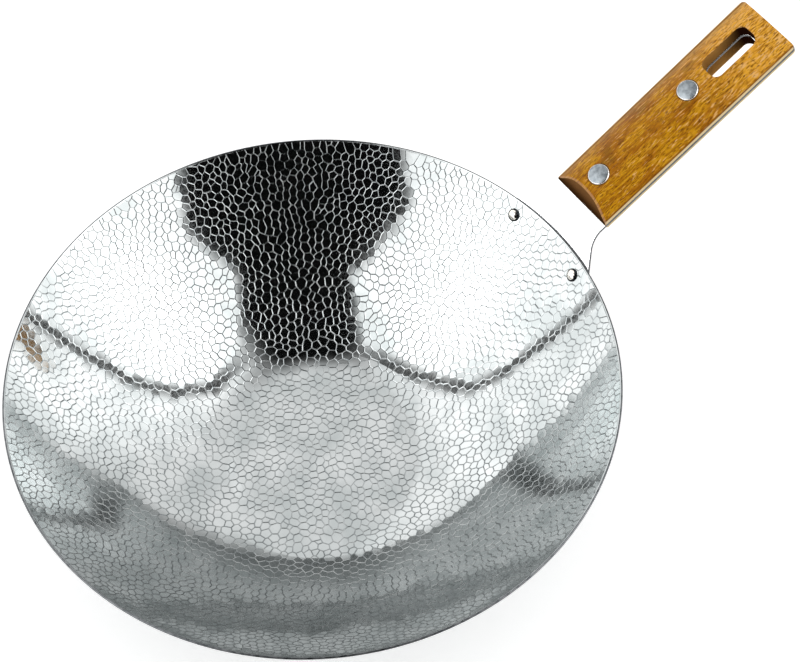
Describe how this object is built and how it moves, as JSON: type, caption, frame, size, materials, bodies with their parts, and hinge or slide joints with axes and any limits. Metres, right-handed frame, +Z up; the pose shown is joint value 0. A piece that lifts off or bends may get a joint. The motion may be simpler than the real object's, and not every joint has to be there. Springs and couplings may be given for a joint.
{
  "type": "wok",
  "caption": "Stainless steel wok: a flat-based bowl with a plain thin edge and a riveted, full-tang wooden stick handle with a hanging slot.",
  "frame": {"origin": "centre of the flat underside of the bowl, on the surface that the wok stands on", "axes": "+Z up out of the bowl, +X from the bowl's axis towards the end of the handle, +Y to the left of the handle seen from above"},
  "size_m": [0.4676, 0.32, 0.1557],
  "materials": {
    "stainless_steel": "mirror polished, with a pressed honeycomb inside the bowl",
    "rivet_steel": "satin",
    "varnished_wood": "gloss varnish over golden brown wood"
  },
  "bodies": {
    "root": {"bowl": "stainless_steel", "handle_bracket": "stainless_steel", "handle_scale_top": "varnished_wood", "handle_scale_bottom": "varnished_wood", "handle_rivet_front_male": "rivet_steel", "handle_rivet_front_female": "rivet_steel", "handle_rivet_rear_male": "rivet_steel", "handle_rivet_rear_female": "rivet_steel", "bowl_rivet_left": "rivet_steel", "bowl_rivet_right": "rivet_steel"}
  },
  "joints": []
}
